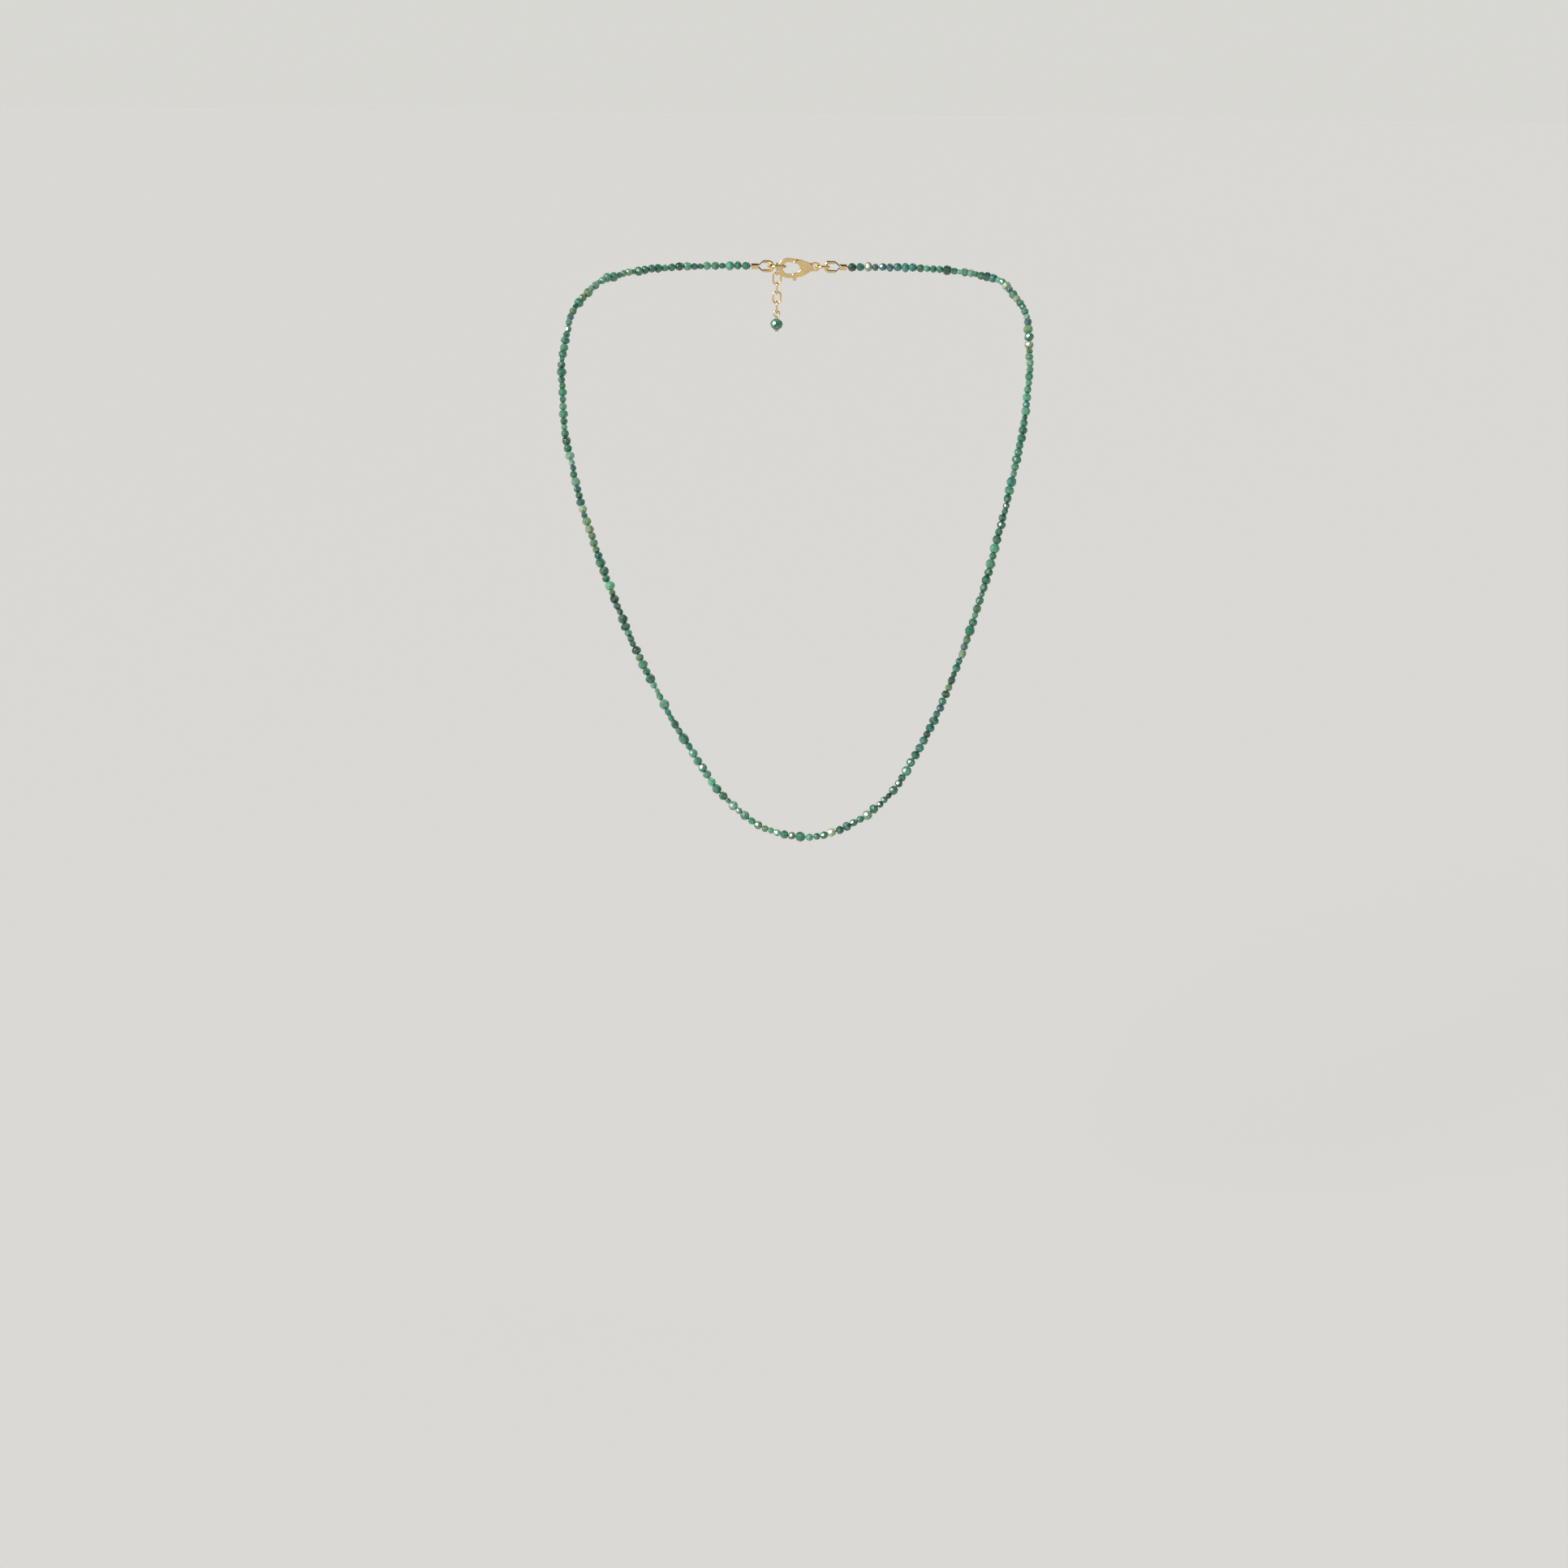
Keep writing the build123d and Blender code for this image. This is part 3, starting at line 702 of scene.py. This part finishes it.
def make_bridges(beads, material):
    """Carry the wire across each fold, in the gap between the two bodies' beads."""
    joints = {frozenset((joint["parent"], joint["child"])): joint["name"] for joint in frame["joints"]}
    for bead, following in zip(beads, beads[1:]):
        first = NODES[bead["node"]]["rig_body"]
        second = NODES[following["node"]]["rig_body"]
        if first == second or frozenset((first, second)) not in joints:
            continue
        onward = following["middle"] - bead["middle"]
        leave = bead["hole"] + pointing(bead["axis"], onward) * bead["length"] / 2
        enter = following["hole"] - pointing(following["axis"], onward) * following["length"] / 2
        gap = (leave + enter) / 2
        along = (enter - leave).normalized()
        bm = bmesh.new()
        shares = [2 * step / (BRIDGE_STEPS - 1) - 1 for step in range(BRIDGE_STEPS)]
        points = [gap + along * (BRIDGE_HALF_LENGTH * share) for share in shares]
        add_tube(bm, points, WIRE_RADIUS, BRIDGE_SIDES)
        side_name = "left" if gap.x < 0 else "right"
        joint_name = joints[frozenset((first, second))]
        piece = link_mesh(f"wire_bend_{side_name}_{joint_name}", bm, material, smooth=True)
        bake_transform(piece)


def paint(nodes, material):
    """Give carried-over CAD nodes a material."""
    for node in nodes:
        NODES[node].data.materials.clear()
        NODES[node].data.materials.append(material)


def make_round_ring(node, name, seam, material):
    """Make a round ring of drawn wire; a seam is the width of its saw cut."""
    low, high = (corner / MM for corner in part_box(node))
    size = high - low
    wire = size.z / 2
    radius = size.x / 2 - wire
    centre = (low + high) / 2
    open_angle = seam / radius
    points = []
    for step in range(RING_STEPS + 1 if seam else RING_STEPS):
        angle = RING_SEAM_ANGLE + open_angle / 2 + (math.tau - open_angle) * step / RING_STEPS
        points.append(centre + Vector((math.cos(angle), math.sin(angle), 0)) * radius)
    bm = bmesh.new()
    add_tube(bm, points, wire, RING_SIDES, closed=not seam)
    stand_for(link_mesh(name, bm, material, smooth=True), node)


def make_crimp(side_name, material):
    """Make a crimp tube that pliers have pinched in the middle and folded along its top."""
    low, high = (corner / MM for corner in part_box(f"crimp_{side_name}"))
    centre = (low + high) / 2
    length = high.x - low.x
    radius = (high.z - low.z) / 2
    outside = []
    inside = []
    for station in range(CRIMP_STATIONS):
        along = 2 * station / (CRIMP_STATIONS - 1) - 1
        past_edge = max(0.0, (abs(along) - (1 - CRIMP_EDGE_SHARE)) / CRIMP_EDGE_SHARE)
        edge = radius * CRIMP_EDGE_DROP * past_edge ** 2
        pinch = (1 - along * along) ** 0.5 if abs(along) < 1 else 0.0
        outer_ring = []
        inner_ring = []
        for side in range(CRIMP_SIDES):
            angle = math.tau * side / CRIMP_SIDES
            flat = CRIMP_FLAT * abs(math.cos(angle)) ** 3
            fold = CRIMP_FOLD * math.exp(-((angle - math.pi / 2) / CRIMP_FOLD_WIDTH) ** 2)
            outer = radius * (1 - pinch * (flat + fold)) - edge
            out = Vector((0, math.cos(angle), math.sin(angle)))
            spot = centre + Vector((along * length / 2, 0, 0))
            outer_ring.append(spot + out * outer)
            inner_ring.append(spot + out * CRIMP_BORE)
        outside.append(outer_ring)
        inside.append(inner_ring)
    bm = bmesh.new()
    loops = outside + inside[::-1]
    rings = [[bm.verts.new(point) for point in loop] for loop in loops]
    join_rings(bm, rings + rings[:1])
    piece = link_mesh(f"crimp_tube_{side_name}", bm, material, smooth=True)
    stand_for(piece, f"crimp_{side_name}")


def make_links(material):
    """Make the extender's oval links, each a closed loop of two straight sides and two turns."""
    middle_step = (LINK_SIDE_STEPS - 1) // 2
    number = 1
    while f"chain_link_{number}" in NODES:
        node = f"chain_link_{number}"
        low, high = (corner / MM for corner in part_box(node))
        size = high - low
        across = Vector((1, 0, 0)) if size.x > size.y else Vector((0, 1, 0))
        wire = min(size.x, size.y) / 2
        radius = max(size.x, size.y) / 2 - wire
        straight = size.z / 2 - wire - radius
        centre = (low + high) / 2
        points = []
        for way in (1, -1):
            out = across * radius * way
            for step in range(LINK_SIDE_STEPS):
                rise = straight * (step - middle_step) / middle_step * LINK_SIDE_SHARE
                points.append(centre + out + Vector((0, 0, way * rise)))
            for step in range(1, LINK_TURN_STEPS):
                angle = math.pi * step / LINK_TURN_STEPS
                rise = straight + radius * math.sin(angle)
                points.append(centre + out * math.cos(angle) + Vector((0, 0, way * rise)))
        bm = bmesh.new()
        add_tube(bm, points, wire, LINK_SIDES, closed=True)
        piece = link_mesh(f"extender_link_{number}", bm, material, smooth=True)
        stand_for(piece, node)
        number += 1


def cast(node, name, voxel, rounds, material):
    """Remake a CAD node as a cast piece, with soft edges: a fine remesh, smoothed and thinned out."""
    source = NODES[node].data.copy()
    source.transform(Matrix.Scale(1 / MM, 4))
    piece = bpy.data.objects.new(name, source)
    bpy.context.scene.collection.objects.link(piece)
    weld = piece.modifiers.new("weld", "WELD")
    weld.merge_threshold = WELD_DISTANCE
    remesh = piece.modifiers.new("remesh", "REMESH")
    remesh.mode = "VOXEL"
    remesh.voxel_size = voxel
    smooth = piece.modifiers.new("smooth", "SMOOTH")
    smooth.factor = 0.5
    smooth.iterations = rounds
    thin = piece.modifiers.new("thin", "DECIMATE")
    thin.ratio = CAST_KEPT
    depsgraph = bpy.context.evaluated_depsgraph_get()
    mesh = bpy.data.meshes.new_from_object(piece.evaluated_get(depsgraph))
    bpy.data.objects.remove(piece)
    mesh.transform(Matrix.Scale(MM, 4))
    mesh.materials.clear()
    mesh.materials.append(material)
    mesh.shade_smooth()
    mesh.name = name
    made = bpy.data.objects.new(name, mesh)
    bpy.context.scene.collection.objects.link(made)
    stand_for(made, node)


# ---------------------------------------------------------------- the whole

make_camera()
make_stage()
make_light()

stone = make_stone_material()
gold = make_gold_material()
steel = make_steel_material()
wire = make_wire_material()

strand = find_beads()
make_beads(strand, stone)
make_drop_bead(stone)
paint([node for node in NODES if node.startswith("wire_") and "guard" not in node], wire)
paint(["clasp_spring"], steel)
paint(["wire_guard_left", "wire_guard_right", "drop_pin"], gold)
make_bridges(strand, wire)
make_round_ring("catch_ring", "catch_ring_soldered", seam=0.0, material=gold)
make_round_ring("jump_ring", "jump_ring_split", seam=JUMP_RING_SEAM, material=gold)
make_links(gold)
cast("clasp_body", "clasp_casting", voxel=0.045, rounds=26, material=gold)
cast("clasp_lever", "clasp_lever_casting", voxel=0.035, rounds=14, material=gold)
cast("clasp_rivet", "clasp_rivet_peened", voxel=0.035, rounds=12, material=gold)
for side_name in ("left", "right"):
    make_crimp(side_name, gold)
